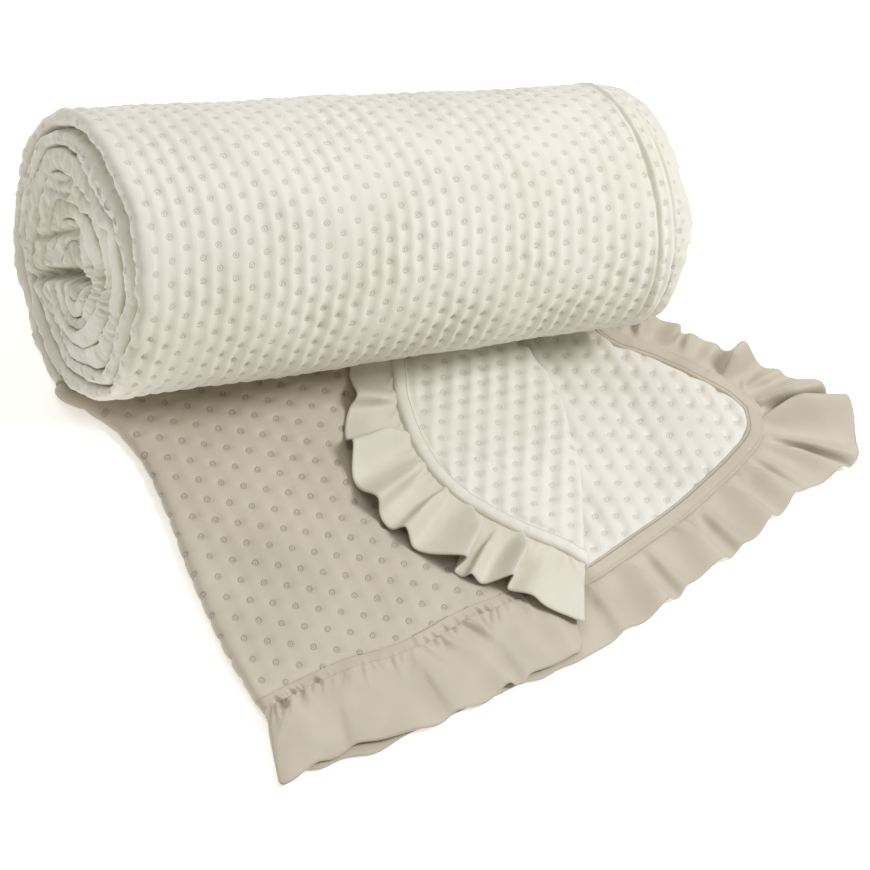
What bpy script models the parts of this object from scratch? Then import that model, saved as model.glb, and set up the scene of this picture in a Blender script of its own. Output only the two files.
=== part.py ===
"""Quilted bedspread, folded in half lengthwise and rolled up, with its loose end laid out in front.

Metres, +Z up. The roll's axis runs along X, the loose end lies on the floor towards -Y.
Four solids: the rolled panel, the loose end of the panel, the binding and the gathered ruffle.
"""
import math

import bpy
import numpy as np

# Roll: a slightly conical winding of double cloth.
ROLL_LENGTH = 0.760
RADIUS_LEFT = 0.1874
RADIUS_RIGHT = 0.1660
AXIS_LEFT = -0.0112       # how far the winding's middle stands towards the front
AXIS_RIGHT = -0.0076
SAG_WIDE = 1.02
SAG_HIGH = 0.96
WRAP_PITCH = 0.024
WRAPS_SHOWN = 5
STEPS_A_TURN = 42
COLUMNS = 36
STEP_ANGLE = -0.26        # where the outer wrap leaves the roll, measured from the bottom
SINK = 0.003              # how far the round section is pressed into its flat spot
QUILT_ROLL = 0.0024
END_SOFTNESS = 0.005
GROOVE_DEPTH = 0.012
CORE_DEPTH = 0.030
CREST_RISE = 0.004

# Loose end: lower layer, fold at the left, upper layer, fold at the right, turned-back corner.
CLOTH = 0.008
LOWER_MID = 0.004
UPPER_MID = 0.014
FLAP_MID_REAR = 0.0235
FLAP_MID_FOLD = 0.028
FLAP_MID_EDGE = 0.0245
QUILT_LAID = 0.0016
ROWS = 20
FLAP_COLUMNS = 9
ARC_COLUMNS = 3

BINDING_WIDTH = 0.014
BINDING_HALF = 0.0036
SEWN_GAP = 0.0003
RUFFLE_WIDTH = 0.098
RUFFLE_HALF = 0.001
RUFFLE_WAVE = 0.062
RUFFLE_ACROSS = 5
RUFFLE_STATION = 0.0105

# Outlines in plan, metres, each from the roll to the hem or along the hem.
LEFT_FOLD = [(0.004, -0.0612), (0.010, -0.074), (0.037, -0.100), (0.058, -0.132), (0.070, -0.177),
             (0.072, -0.248), (0.066, -0.351), (0.063, -0.447), (0.072, -0.540)]
RIGHT_FOLD = [(0.594, -0.074), (0.601, -0.088), (0.614, -0.124), (0.617, -0.167), (0.612, -0.207),
              (0.603, -0.255), (0.583, -0.316), (0.553, -0.385), (0.539, -0.420)]
LOWER_SIDE = [(0.745, -0.062), (0.747, -0.079), (0.762, -0.099), (0.798, -0.122), (0.839, -0.158),
              (0.872, -0.193), (0.889, -0.228)]
LOWER_REAR = [(0.745, -0.062), (0.715, -0.0550), (0.680, -0.0535), (0.400, -0.0567), (0.004, -0.0612)]
LOWER_HEM = [(0.889, -0.228), (0.872, -0.268), (0.823, -0.304), (0.770, -0.335), (0.712, -0.366),
             (0.638, -0.399), (0.533, -0.442), (0.420, -0.470), (0.300, -0.498), (0.190, -0.520),
             (0.072, -0.540)]
UPPER_REAR = [(0.004, -0.0612), (0.400, -0.0567), (0.520, -0.0580), (0.594, -0.074)]
UPPER_HEM = [(0.072, -0.540), (0.125, -0.524), (0.189, -0.508), (0.242, -0.502), (0.294, -0.490),
             (0.360, -0.467), (0.417, -0.455), (0.480, -0.440), (0.539, -0.420)]
FLAP_HEM = [(0.539, -0.420), (0.525, -0.402), (0.489, -0.371), (0.452, -0.334), (0.428, -0.298)]
FLAP_SIDE = [(0.441, -0.074), (0.443, -0.094), (0.433, -0.124), (0.421, -0.160), (0.414, -0.210),
             (0.416, -0.262), (0.428, -0.298)]

# Height of the ruffle's free edge for each height of its sewn edge.
RUFFLE_LAID = [(0.004, 0.0024), (0.014, 0.0085), (0.0235, 0.0240), (0.028, 0.027)]
# Height of the ruffle's waves along each stretch of the sewn edge: (share of its length, metres).
WAVES = [
    [(0.0, 0.004), (0.35, 0.016), (1.0, 0.018)],                 # lower side
    [(0.0, 0.018), (0.40, 0.018), (0.52, 0.002), (1.0, 0.001)],  # lower hem
    [(0.0, 0.0), (1.0, 0.0)],                                    # left fold
    [(0.0, 0.0), (0.10, 0.006), (0.85, 0.007), (1.0, 0.0)],      # upper hem
    [(0.0, 0.0), (1.0, 0.0)],                                    # right fold
    [(0.0, 0.0), (0.30, 0.013), (1.0, 0.013)],                   # flap hem
    [(0.0, 0.013), (0.60, 0.012), (1.0, 0.003)],                 # flap side
]


def clear_scene():
    """Remove whatever the start-up file holds."""
    for item in list(bpy.data.objects):
        bpy.data.objects.remove(item, do_unlink=True)


def make_material(name, colour, roughness):
    """A Principled material of one plain colour."""
    material = bpy.data.materials.new(name)
    material.use_nodes = True
    shader = material.node_tree.nodes["Principled BSDF"]
    shader.inputs["Base Color"].default_value = (*colour, 1.0)
    shader.inputs["Roughness"].default_value = roughness
    return material


def add_mesh(name, points, faces, material, collection):
    """One named object from points and faces."""
    mesh = bpy.data.meshes.new(name)
    mesh.from_pydata([tuple(p) for p in points], [], faces)
    mesh.update()
    mesh.materials.append(material)
    item = bpy.data.objects.new(name, mesh)
    collection.objects.link(item)
    return item


def smooth_line(table, count):
    """Even stations along a smooth line through the table's points."""
    knots = np.array(table, float)
    padded = np.vstack([2 * knots[0] - knots[1], knots, 2 * knots[-1] - knots[-2]])
    fine = []
    for i in range(len(knots) - 1):
        a, b, c, d = padded[i:i + 4]
        t = np.linspace(0.0, 1.0, 24, endpoint=False)[:, None]
        fine.append(0.5 * (2 * b + (c - a) * t + (2 * a - 5 * b + 4 * c - d) * t ** 2
                           + (3 * b - a - 3 * c + d) * t ** 3))
    fine = np.vstack(fine + [knots[-1:]])
    length = np.concatenate([[0.0], np.cumsum(np.linalg.norm(np.diff(fine, axis=0), axis=1))])
    even = np.linspace(0.0, length[-1], count)
    return np.stack([np.interp(even, length, fine[:, k]) for k in range(2)], axis=1)


def resample(line, shares):
    """Points of a line at the given shares of its length."""
    length = np.concatenate([[0.0], np.cumsum(np.linalg.norm(np.diff(line, axis=0), axis=1))])
    at = np.asarray(shares) * length[-1]
    return np.stack([np.interp(at, length, line[:, k]) for k in range(line.shape[1])], axis=1)


def patch(first, last, rear, hem):
    """Coons patch: columns from first to last, rows from rear to hem."""
    s = np.linspace(0.0, 1.0, len(rear))[:, None, None]
    t = np.linspace(0.0, 1.0, len(first))[None, :, None]
    across = (1 - s) * first[None] + s * last[None]
    along = (1 - t) * rear[:, None] + t * hem[:, None]
    corners = ((1 - s) * (1 - t) * rear[0] + s * (1 - t) * rear[-1]
               + (1 - s) * t * hem[0] + s * t * hem[-1])
    return across + along - corners


def unit(vectors):
    """Vectors of length one."""
    return vectors / np.maximum(np.linalg.norm(vectors, axis=-1, keepdims=True), 1e-12)


def grid_normals(grid):
    """Unit normals of a grid of points."""
    along_s = np.gradient(grid, axis=0)
    along_t = np.gradient(grid, axis=1)
    return unit(np.cross(along_s, along_t))


def closed_sheet(first, second):
    """Points and faces of the solid between two grids of the same size."""
    n, m = first.shape[:2]
    points = np.vstack([first.reshape(-1, 3), second.reshape(-1, 3)])
    base = n * m
    faces = []
    for i in range(n - 1):
        for j in range(m - 1):
            a, b, c, d = i * m + j, (i + 1) * m + j, (i + 1) * m + j + 1, i * m + j + 1
            faces.append((a, b, c, d))
            faces.append((base + d, base + c, base + b, base + a))
    rim = ([(i, 0) for i in range(n)] + [(n - 1, j) for j in range(1, m)]
           + [(i, m - 1) for i in range(n - 2, -1, -1)] + [(0, j) for j in range(m - 2, 0, -1)])
    for (i, j), (k, l) in zip(rim, rim[1:] + rim[:1]):
        a, b = i * m + j, k * m + l
        faces.append((b, a, base + a, base + b))
    return points, faces


def roll_radius(x):
    """Outer radius at a distance along the roll."""
    return RADIUS_LEFT + (RADIUS_RIGHT - RADIUS_LEFT) * x / ROLL_LENGTH


def roll_axis(x):
    """Y of the winding's middle at a distance along the roll."""
    return AXIS_LEFT + (AXIS_RIGHT - AXIS_LEFT) * x / ROLL_LENGTH


def spiral_point(x, theta, inward=0.0):
    """Point of the winding, theta from the bottom towards the back."""
    radius = roll_radius(x) - WRAP_PITCH * (theta - STEP_ANGLE) / (2 * math.pi) - inward
    y = roll_axis(x) + SAG_WIDE * radius * math.sin(theta)
    z = SAG_HIGH * (roll_radius(x) - radius * math.cos(theta)) - SINK
    return (x, y, max(z, 0.0))


def make_roll(material, collection):
    """The wound panel: quilted outside, wraps shown in relief at both ends."""
    xs = [0.0] + list(np.linspace(0.010, ROLL_LENGTH - 0.010, COLUMNS)) + [ROLL_LENGTH]
    steps = STEPS_A_TURN
    turn = 2 * math.pi
    points, faces = [], []
    for j, x in enumerate(xs):
        edge = END_SOFTNESS if j in (0, len(xs) - 1) else 0.0
        for i in range(steps + 1):
            theta = STEP_ANGLE + turn * i / steps
            raised = 0.0 if edge or i in (0, steps) else QUILT_ROLL * (1 if (i + j) % 2 else -1)
            points.append(spiral_point(x, theta, edge - raised))
    ring = steps + 1
    for j in range(len(xs) - 1):
        for i in range(ring):
            k = (i + 1) % ring
            faces.append((j * ring + k, (j + 1) * ring + k, (j + 1) * ring + i, j * ring + i))
    for column, outward in ((0, -1.0), (len(xs) - 1, 1.0)):
        add_wraps(points, faces, xs[column], column * ring, outward)
    return add_mesh("roll", points, faces, material, collection)


def add_wraps(points, faces, x, outer, outward):
    """One end of the roll: crests and grooves along the spiral, and a hollow core."""
    steps, turns = STEPS_A_TURN, WRAPS_SHOWN
    turn = 2 * math.pi
    groove = [outer + i for i in range(steps + 1)]
    for i in range(1, steps * turns + 1):
        theta = STEP_ANGLE + turn * (1 + i / steps)
        x_low = x - outward * GROOVE_DEPTH * (1.0 + 0.25 * math.sin(3 * theta))
        groove.append(len(points))
        points.append((x_low, *spiral_point(x, theta)[1:]))
    crest = []
    for i in range(steps * turns + 1):
        theta = STEP_ANGLE + turn * i / steps
        x_high = x + outward * CREST_RISE * (1.0 + math.sin(2 * theta + 0.8)) / 2
        crest.append(len(points))
        points.append((x_high, *spiral_point(x, theta, WRAP_PITCH / 2)[1:]))
    core = len(points)
    points.append((x - outward * CORE_DEPTH, roll_axis(x), SAG_HIGH * roll_radius(x) - SINK))
    strip = []
    for i in range(steps * turns):
        strip.append((groove[i], groove[i + 1], crest[i + 1], crest[i]))
        strip.append((crest[i], crest[i + 1], groove[i + 1 + steps], groove[i + steps]))
    for i in range(steps * turns, steps * (turns + 1)):
        strip.append((groove[i], groove[i + 1], core))
    strip.append((groove[-1], crest[-1], core))
    strip.append((crest[-1], groove[steps * turns], core))
    strip.append((groove[0], crest[0], groove[steps]))
    faces += strip if outward > 0 else [tuple(reversed(face)) for face in strip]


def fold_arc(first, last, outward):
    """Columns round a soft fold between two layers."""
    columns = []
    radius = (last[:, 2:] - first[:, 2:]) / 2
    for angle in np.linspace(0.0, math.pi, ARC_COLUMNS + 2)[1:-1]:
        plan = first[:, :2] + outward * radius * math.sin(angle)
        share = (1 - math.cos(angle)) / 2
        columns.append(np.hstack([plan, first[:, 2:] * (1 - share) + last[:, 2:] * share]))
    return np.array(columns)


def side_normals(line, sign):
    """Plan normals of a line, to the given side."""
    tangent = unit(np.gradient(line[:, :2], axis=0))
    return sign * np.stack([-tangent[:, 1], tangent[:, 0]], axis=1)


def raise_to(plan, height):
    """A plan grid with its heights added."""
    z = np.broadcast_to(height, plan.shape[:2])[..., None]
    return np.concatenate([plan, z], axis=2)


def loose_middle():
    """Middle surface of the loose end as one grid of columns, with the group of each column."""
    left = smooth_line(LEFT_FOLD, ROWS)
    right = smooth_line(RIGHT_FOLD, ROWS)
    # Lower layer: dense where it shows at the right, coarse under the upper layer.
    shares = np.concatenate([np.linspace(0.0, 0.46, 15), np.linspace(0.46, 1.0, 8)[1:]])
    rear = resample(smooth_line(LOWER_REAR, 200), np.interp(shares, [0.0, 0.14, 1.0], [0.0, 0.10, 1.0]))
    lower = patch(smooth_line(LOWER_SIDE, ROWS), left, rear, resample(smooth_line(LOWER_HEM, 200), shares))
    # Upper layer: dense at the left, coarse under the flap.
    shares = np.concatenate([np.linspace(0.0, 0.75, 18), np.linspace(0.75, 1.0, 4)[1:]])
    rear = resample(smooth_line(UPPER_REAR, 200), shares)
    upper = patch(left, right, rear, resample(smooth_line(UPPER_HEM, 200), shares))
    # Flap: the upper layer's corner turned back over it.
    side = smooth_line(FLAP_SIDE, ROWS)
    rear = np.linspace(right[0], side[0], FLAP_COLUMNS)
    flap = patch(right, side, rear, smooth_line(FLAP_HEM, FLAP_COLUMNS))
    lifted = np.minimum(np.linspace(0.0, 1.0, ROWS) / 0.3, 1.0)
    at_fold = FLAP_MID_REAR + (FLAP_MID_FOLD - FLAP_MID_REAR) * lifted
    at_edge = FLAP_MID_REAR + (FLAP_MID_EDGE - FLAP_MID_REAR) * lifted
    fall = np.linspace(1.0, 0.0, FLAP_COLUMNS)[:, None] ** 2

    lower = raise_to(lower, LOWER_MID)
    upper = raise_to(upper, UPPER_MID)
    flap = raise_to(flap, at_edge + (at_fold - at_edge) * fall)
    left_arc = fold_arc(lower[-1], upper[0], side_normals(left, -1.0))
    right_arc = fold_arc(upper[-1], flap[0], side_normals(right, 1.0))
    parts = (lower, left_arc, upper, right_arc, flap)
    return np.concatenate(parts), np.concatenate([np.full(len(part), k) for k, part in enumerate(parts)])


def add_sheet(name, middle, normals, over, under, material, collection):
    """A sheet with the given half-thicknesses on each side of its middle, never below the floor."""
    above, below = middle + normals * over, middle - normals * under
    above[..., 2] = np.maximum(above[..., 2], 0.0)
    below[..., 2] = np.maximum(below[..., 2], 0.0)
    points, faces = closed_sheet(above, below)
    return add_mesh(name, points, faces, material, collection)


def make_loose_end(middle, group, material, collection):
    """The laid-out end: one sheet back and forth, quilted where it shows, flat on the floor."""
    n, m = middle.shape[:2]
    raised = np.where(np.add.outer(np.arange(n), np.arange(m)) % 2, QUILT_LAID, -QUILT_LAID)
    raised[:, [0, 1, -1]] = 0.0
    raised[[0, -1], :] = 0.0
    over = CLOTH / 2 + np.where(np.isin(group, (0, 4))[:, None], raised, 0.0)
    shows = (group == 2) & (np.cumsum(group == 2) < 17)
    under = CLOTH / 2 + np.where(shows[:, None], raised, 0.0)
    return add_sheet("loose_end", middle, grid_normals(middle), over[..., None], under[..., None],
                     material, collection)


def rim_path(middle, group):
    """The panel's sewn edge: points, normals, outward directions and the stretch each is on."""
    pick = lambda grid: np.concatenate([grid[0, :-1], grid[:, -1], grid[-1, -2::-1]])
    path, normal = pick(middle), unit(pick(grid_normals(middle)))
    outward = unit(np.cross(normal, unit(np.gradient(path, axis=0))))
    rows = middle.shape[1] - 1
    stretch = np.concatenate([np.zeros(rows, int), group + 1, np.full(rows, 6)])
    return path, normal, outward, stretch


def path_length(path):
    """Distance along a path at each of its points."""
    return np.concatenate([[0.0], np.cumsum(np.linalg.norm(np.diff(path, axis=0), axis=1))])


def smooth_directions(path, directions, reach):
    """Directions averaged along the path within the reach."""
    length = path_length(path)
    weight = np.exp(-((length[:, None] - length[None]) / reach) ** 2)
    return unit(weight @ directions)


def make_binding(path, normal, outward, material, collection):
    """Flat padded band sewn along the panel's edge. Returns its outer line."""
    offsets = SEWN_GAP + BINDING_WIDTH * np.array([0.0, 0.5, 1.0])
    middle = path[:, None, :] + outward[:, None, :] * offsets[None, :, None]
    half = BINDING_HALF * np.array([0.8, 1.0, 0.7])[None, :, None]
    normals = np.repeat(normal[:, None, :], 3, axis=1)
    add_sheet("binding", middle, normals, half, half, material, collection)
    return middle[:, -1]


def wave_heights(length, stretch):
    """Height of the waves at each point of the sewn edge, from the table."""
    heights = np.zeros(len(length))
    for k, row in enumerate(WAVES):
        on = stretch == k
        start, end = length[on][0], length[on][-1]
        heights[on] = np.interp((length[on] - start) / (end - start), *zip(*row))
    return heights


def make_ruffle(outer, outward, stretch, material, collection):
    """Gathered strip round the binding, waving more towards its free edge."""
    length = path_length(outer)
    heights = wave_heights(length, stretch)
    at = [0.0]
    for a, b, height in zip(length[:-1], length[1:], heights[1:]):
        step = RUFFLE_STATION if height > 0.0025 else 3 * RUFFLE_STATION
        at += list(np.linspace(a, b, max(1, round((b - a) / step)) + 1)[1:])
    at = np.array(at)
    edge = np.stack([np.interp(at, length, outer[:, k]) for k in range(3)], axis=1)
    away = unit(np.stack([np.interp(at, length, outward[:, k]) for k in range(3)], axis=1))
    across = np.linspace(0.0, 1.0, RUFFLE_ACROSS)[None, :]
    phase = 2 * math.pi * at / RUFFLE_WAVE
    wave = 0.5 + 0.5 * np.sin(phase + 0.9 * np.sin(0.31 * phase))
    reach = RUFFLE_WIDTH * (0.97 + 0.03 * np.sin(0.47 * phase))
    middle = edge[:, None, :] + away[:, None, :] * (SEWN_GAP + across * reach[:, None])[..., None]
    laid = np.interp(edge[:, 2], *zip(*RUFFLE_LAID))[:, None]
    lifted = (np.interp(at, length, heights) * wave)[:, None]
    middle[..., 2] = edge[:, 2:] * (1 - across) + (laid + lifted) * across
    return add_sheet("ruffle", middle, grid_normals(middle), RUFFLE_HALF, RUFFLE_HALF,
                     material, collection)


def centre_on_base(items):
    """Shift every solid so that the whole stands with the middle of its base at the origin."""
    corners = np.array([vertex.co[:] for item in items for vertex in item.data.vertices])
    low, high = corners.min(axis=0), corners.max(axis=0)
    shift = np.array([(low[0] + high[0]) / 2, (low[1] + high[1]) / 2, low[2]])
    for item in items:
        for vertex in item.data.vertices:
            vertex.co = [vertex.co[k] - shift[k] for k in range(3)]
        item.data.update()


def main():
    clear_scene()
    collection = bpy.data.collections.new("rolled_bedspread")
    bpy.context.scene.collection.children.link(collection)
    cream = make_material("quilted_cotton", (0.74, 0.70, 0.61), 0.85)
    laid = make_material("quilted_cotton_laid", (0.69, 0.64, 0.56), 0.85)
    tape = make_material("cotton_binding", (0.72, 0.67, 0.58), 0.80)
    lawn = make_material("plain_cotton_ruffle", (0.76, 0.72, 0.63), 0.85)
    middle, group = loose_middle()
    path, normal, outward, stretch = rim_path(middle, group)
    items = [make_roll(cream, collection), make_loose_end(middle, group, laid, collection)]
    outer = make_binding(path, normal, smooth_directions(path, outward, 0.012), tape, collection)
    make_ruffle(outer, smooth_directions(path, outward, 0.055), stretch, lawn, collection)
    centre_on_base(items + [collection.objects["binding"], collection.objects["ruffle"]])


main()
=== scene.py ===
import math

import bpy
import numpy as np
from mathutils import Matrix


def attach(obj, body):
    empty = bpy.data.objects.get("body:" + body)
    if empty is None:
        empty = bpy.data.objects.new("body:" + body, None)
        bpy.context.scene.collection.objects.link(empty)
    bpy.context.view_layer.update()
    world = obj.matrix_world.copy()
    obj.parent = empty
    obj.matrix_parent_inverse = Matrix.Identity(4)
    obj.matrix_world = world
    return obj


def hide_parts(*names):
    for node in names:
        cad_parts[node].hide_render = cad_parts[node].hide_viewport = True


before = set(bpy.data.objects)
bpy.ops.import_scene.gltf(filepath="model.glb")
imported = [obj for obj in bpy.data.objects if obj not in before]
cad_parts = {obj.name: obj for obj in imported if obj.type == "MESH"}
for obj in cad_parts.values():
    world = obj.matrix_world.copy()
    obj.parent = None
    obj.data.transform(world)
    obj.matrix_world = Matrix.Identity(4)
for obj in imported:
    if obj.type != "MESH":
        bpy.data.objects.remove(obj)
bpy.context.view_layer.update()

# Shapes below are measured from the roll's left end on the floor. The frame starts at the base's middle.
baseShift = np.array([0.494814, -0.235362, 0.0])


# Tools for shapes

def unit(vectors):
    # each vector divided by its length
    return vectors / np.maximum(np.linalg.norm(vectors, axis=-1, keepdims=True), 1e-12)


def ease(low, high, value):
    # 0 below low, 1 above high, and a smooth cubic step between
    t = np.clip((value - low) / (high - low), 0.0, 1.0)
    return t * t * (3.0 - 2.0 * t)


def softNoise(a, b, size, seed, waves=11):
    # soft random relief of about -1 to 1: a sum of plane sine waves in random directions
    rng = np.random.default_rng(seed)
    total = np.zeros(np.broadcast(a, b).shape)
    for _ in range(waves):
        angle, phase = rng.uniform(0.0, 2.0 * math.pi, 2)
        length = size * rng.uniform(0.7, 1.5)
        total += np.sin(2.0 * math.pi * (a * math.cos(angle) + b * math.sin(angle)) / length + phase)
    return total / math.sqrt(waves)


def pathLength(path):
    # running length of a path at each of its points
    return np.concatenate([[0.0], np.cumsum(np.linalg.norm(np.diff(path, axis=0), axis=1))])


def alongPath(path, shares):
    # points of a path at the given shares of its length
    length = pathLength(path)
    return np.stack([np.interp(np.asarray(shares) * length[-1], length, column) for column in path.T], axis=1)


def smoothLine(table, shares):
    # a smooth cubic line through a table's points, read at the given shares of its length
    knots = np.array(table, float)
    padded = np.vstack([2 * knots[0] - knots[1], knots, 2 * knots[-1] - knots[-2]])
    t = np.linspace(0.0, 1.0, 24, endpoint=False)[None, :, None]
    a, b, c, d = (padded[k:k + len(knots) - 1, None, :] for k in range(4))
    fine = 0.5 * (2 * b + (c - a) * t + (2 * a - 5 * b + 4 * c - d) * t ** 2
                  + (3 * b - a - 3 * c + d) * t ** 3)
    return alongPath(np.vstack([fine.reshape(-1, knots.shape[1]), knots[-1:]]), shares)


def unevenShares(counts, change):
    # shares from 0 to 1, evenly spaced up to the change with the first count and past it with the second
    return np.concatenate([np.linspace(0.0, change, counts[0]), np.linspace(change, 1.0, counts[1] + 1)[1:]])


def coonsPatch(first, last, rear, hem):
    # Coons patch: blends the two sides and the two ends, less the blend of the four corners
    s = np.linspace(0.0, 1.0, len(rear))[:, None, None]
    t = np.linspace(0.0, 1.0, len(first))[None, :, None]
    corners = ((1 - s) * (1 - t) * rear[0] + s * (1 - t) * rear[-1]
               + (1 - s) * t * hem[0] + s * t * hem[-1])
    return (1 - s) * first[None] + s * last[None] + (1 - t) * rear[:, None] + t * hem[:, None] - corners


def gridNormals(grid):
    # unit cross product of a grid's two directions
    return unit(np.cross(np.gradient(grid, axis=0), np.gradient(grid, axis=1)))


def gridFaces(index, flip=False):
    # four-cornered faces between neighbouring points of a grid of point numbers
    a, b, c, d = index[:-1, :-1], index[1:, :-1], index[1:, 1:], index[:-1, 1:]
    order = (a, d, c, b) if flip else (a, b, c, d)
    return np.stack([corner.ravel() for corner in order], axis=1)


def makePiece(name, points, faces, uv, slots=None):
    # a smooth mesh object in the frame's place, with the cloth's own coordinates
    mesh = bpy.data.meshes.new(name)
    mesh.from_pydata((points - baseShift).tolist(), [], [face for part in faces for face in part.tolist()])
    mesh.polygons.foreach_set("use_smooth", np.ones(len(mesh.polygons), bool))
    corner = np.zeros(len(mesh.loops), np.int32)
    mesh.loops.foreach_get("vertex_index", corner)
    layer = mesh.uv_layers.new(name="cloth")
    layer.data.foreach_set("uv", uv[corner].astype(np.float32).ravel())
    if slots is not None:
        mesh.polygons.foreach_set("material_index", slots.astype(np.int32))
    mesh.update()
    piece = bpy.data.objects.new(name, mesh)
    bpy.context.scene.collection.objects.link(piece)
    return piece


def closedSheet(name, over, under, uvOver, uvUnder, rows=None):
    # a solid sheet between two grids of one size, its rim closed; slot 0 above, slot 1 below and on the rows
    # that are given as 1
    for grid in (over, under):
        grid[..., 2] = np.maximum(grid[..., 2], 0.0002)
    n, m = over.shape[:2]
    top = np.arange(n * m).reshape(n, m)
    ring = np.concatenate([top[:, 0], top[-1, 1:], top[-2::-1, -1], top[0, -2:0:-1]])
    after = np.roll(ring, -1)
    rim = np.stack([after, ring, ring + n * m, after + n * m], axis=1)
    faces = [gridFaces(top), gridFaces(top + n * m, flip=True), rim]
    slots = np.repeat([0, 1, 1], [len(part) for part in faces])
    if rows is not None:
        slots[:len(faces[0])] = np.repeat(rows[:-1], m - 1)
    points = np.vstack([over.reshape(-1, 3), under.reshape(-1, 3)])
    return makePiece(name, points, faces, np.vstack([uvOver.reshape(-1, 2), uvUnder.reshape(-1, 2)]), slots)


# Materials

def toLinear(hexColour):
    # an sRGB hex colour as linear values
    parts = [int(hexColour[k:k + 2], 16) / 255.0 for k in (1, 3, 5)]
    return tuple(p / 12.92 if p <= 0.04045 else ((p + 0.055) / 1.055) ** 2.4 for p in parts) + (1.0,)


def addNode(tree, kind, settings=None, links=None, values=None):
    # one node with its settings, its incoming links and its plain input values
    node = tree.nodes.new(kind)
    for key, value in (settings or {}).items():
        setattr(node, key, value)
    for key, source in (links or {}).items():
        tree.links.new(source, node.inputs[key])
    for key, value in (values or {}).items():
        node.inputs[key].default_value = value
    return node


def startCloth(name, finish):
    # a new material with its plain values set; also gives its node tree and the cloth's own coordinates
    material = bpy.data.materials.new(name)
    material.use_nodes = True
    tree = material.node_tree
    for key, socket in (("roughness", "Roughness"), ("sheen", "Sheen Weight"),
                        ("sheenRoughness", "Sheen Roughness"), ("specular", "Specular IOR Level")):
        tree.nodes["Principled BSDF"].inputs[socket].default_value = finish[key]
    return material, tree, addNode(tree, "ShaderNodeUVMap", {"uv_map": "cloth"}).outputs[0]


def washedColour(tree, light, deep, patches):
    # slow patches between two near tones, as on washed cloth: patches is how many lie along a metre
    place = addNode(tree, "ShaderNodeTexCoord").outputs["Object"]
    wash = addNode(tree, "ShaderNodeTexNoise", links={"Vector": place},
                   values={"Scale": patches, "Detail": 3.0}).outputs["Fac"]
    wash = addNode(tree, "ShaderNodeMapRange", links={"Value": wash},
                   values={"From Min": 0.35, "From Max": 0.65}).outputs["Result"]
    return addNode(tree, "ShaderNodeMix", {"data_type": "RGBA"}, {0: wash},
                   {6: toLinear(deep), 7: toLinear(light)}).outputs[2]


def threadBump(tree, uv, cell, finish):
    # uneven threads that cross: two noises, each drawn out along one way of the cloth, added up
    grain = []
    for across, along in (finish["slub"], finish["slub"][::-1]):
        node = addNode(tree, "ShaderNodeMapping", links={"Vector": uv},
                       values={"Scale": (cell[0] / across, cell[1] / along, 1.0)})
        grain.append(addNode(tree, "ShaderNodeTexNoise", links={"Vector": node.outputs[0]},
                             values={"Scale": 1.0, "Detail": 2.0, "Roughness": 0.6}).outputs["Fac"])
    grain = addNode(tree, "ShaderNodeMath", {"operation": "ADD"}, {0: grain[0], 1: grain[1]}).outputs[0]
    return addNode(tree, "ShaderNodeBump", links={"Height": grain},
                   values={"Strength": finish["slubBump"], "Distance": finish["slubHigh"]}).outputs[0]


def dressShader(tree, colour, normal):
    # joins the finished colour and bump to the shader
    for source, socket in ((colour, "Base Color"), (normal, "Normal")):
        tree.links.new(source, tree.nodes["Principled BSDF"].inputs[socket])


quiltedSateen = {
    "ringRadius": 1.9,          # mm, the stitched circle that holds each dot down
    "ringThread": (1.0, 0.2),   # mm, half width of its band of thread and of the band's full middle, coarser
                                # than real so that it shows
    "ringCover": 0.6,           # share of the thread's own colour that shows
    "shadeReach": 8.0,          # mm, how far from a dot's middle its shading runs
    # painted shade round each dot: share of that reach, grey; and the tint of the grey
    "shade": [(0.0, 0.88), (0.11, 0.91), (0.21, 1.0), (0.31, 1.0), (0.41, 0.83), (0.64, 1.0)],
    "shadeTint": (1.0, 0.99, 0.97),
    "ringHigh": 0.6, "dotBump": 0.9, "dotHigh": 0.0020,   # thread over shading, strength, metres
    "slub": (1.6, 11.0),        # mm, thread unevenness across and along, coarser than real so that it shows
    "slubBump": 0.35, "slubHigh": 0.0005,                 # strength, metres
    "patches": 8.0,
    "roughness": 0.70, "sheen": 0.30, "sheenRoughness": 0.45, "specular": 0.30,
}


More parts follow.
